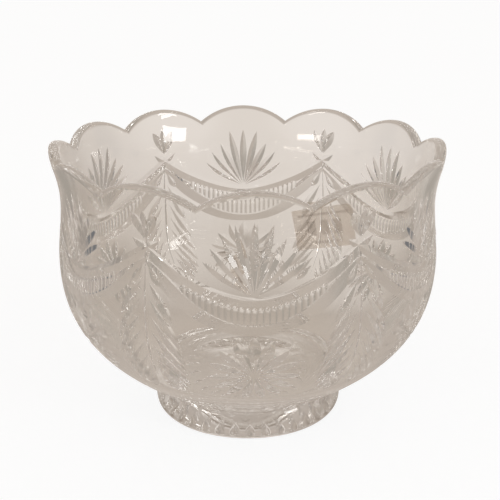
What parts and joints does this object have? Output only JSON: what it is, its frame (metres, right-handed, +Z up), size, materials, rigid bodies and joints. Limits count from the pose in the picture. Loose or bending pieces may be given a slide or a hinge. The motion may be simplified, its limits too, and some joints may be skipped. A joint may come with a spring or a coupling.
{
  "type": "punch bowl",
  "caption": "Cut-crystal punch bowl with a scalloped flared rim, festoon, fan and star cutting, a fused collar foot and a paper lot label.",
  "frame": {"origin": "centre of the foot's resting face", "axes": "+Z up along the bowl's axis, -Y towards the front panel, +X to the right seen from the front"},
  "size_m": [0.3, 0.3, 0.214],
  "materials": {
    "bowl_crystal": "polished lead crystal with polished mitre cuts",
    "foot_crystal": "polished lead crystal",
    "label_paper": "matt uncoated paper"
  },
  "bodies": {
    "root": {"bowl": "bowl_crystal", "foot": "foot_crystal", "lot_label": "label_paper"}
  },
  "joints": []
}
